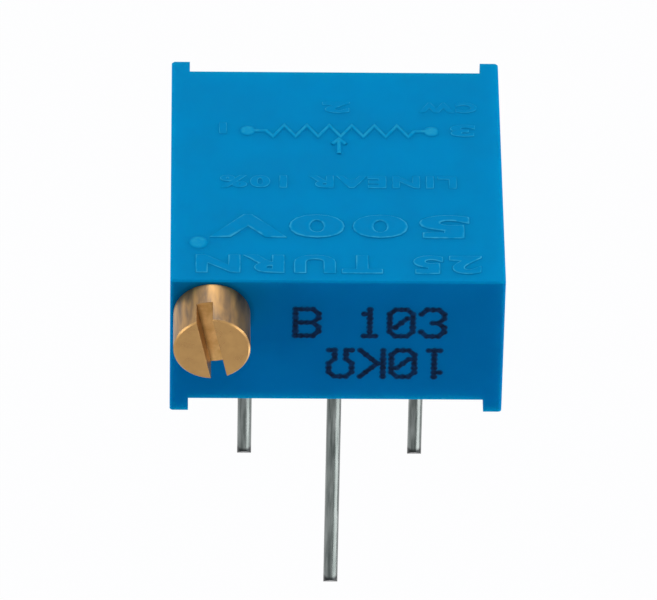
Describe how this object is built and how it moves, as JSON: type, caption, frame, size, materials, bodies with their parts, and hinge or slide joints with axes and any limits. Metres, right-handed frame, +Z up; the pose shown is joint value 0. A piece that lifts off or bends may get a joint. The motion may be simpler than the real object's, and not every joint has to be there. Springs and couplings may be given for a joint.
{
  "type": "trimmer potentiometer",
  "caption": "Square sealed trimmer potentiometer: a slotted brass side screw turns an enclosed worm and wiper, with wire pins below for a circuit board.",
  "frame": {"origin": "on the wiper pin's axis, at the plane where the feet meet the board", "axes": "+Z up from the board, +Y from the screw face to the back, +X to the right facing the screw"},
  "size_m": [0.0096, 0.0116, 0.0131],
  "materials": {
    "housing_plastic": "moulded satin blue thermoplastic",
    "turned_brass": "turned, slightly dulled brass",
    "tinned_wire": "tin-plated copper wire, dull",
    "potting_epoxy": "poured epoxy, satin",
    "alumina": "fired white alumina",
    "cermet_film": "fired black cermet film",
    "silver_film": "fired silver alloy film",
    "solder": "tin solder",
    "seal_rubber": "black rubber",
    "spring_steel": "stamped spring steel",
    "rotor_plastic": "natural moulded nylon",
    "contact_spring": "stamped contact alloy"
  },
  "bodies": {
    "base": {"housing": "housing_plastic", "substrate": "alumina", "resistive_track": "cermet_film", "collector_film": "silver_film", "ccw_termination_film": "silver_film", "cw_termination_film": "silver_film", "terminal_pin_1_ccw": "tinned_wire", "terminal_pin_2_wiper": "tinned_wire", "terminal_pin_3_cw": "tinned_wire", "solder_joint_1": "solder", "solder_joint_2": "solder", "solder_joint_3": "solder", "potting_seal": "potting_epoxy"},
    "screw": {"adjustment_screw": "turned_brass", "shaft_seal": "seal_rubber", "retaining_clip": "spring_steel"},
    "rotor": {"rotor_gear": "rotor_plastic", "wiper_contact": "contact_spring"}
  },
  "joints": [
    {"name": "screw_turn", "type": "hinge", "parent": "base", "child": "screw", "pos_m": [-0.00358, 0, 0.00364], "axis": [0, 1, 0], "range_deg": [-4500, 4500]},
    {"name": "rotor_turn", "type": "hinge", "parent": "base", "child": "rotor", "pos_m": [0.0003, 0.00277, 0], "axis": [0, 0, 1], "range_deg": [-136.4, 136.4]}
  ],
  "couplings": [
    {"joint": "rotor_turn", "follows": "screw_turn", "ratio": -0.030303}
  ]
}
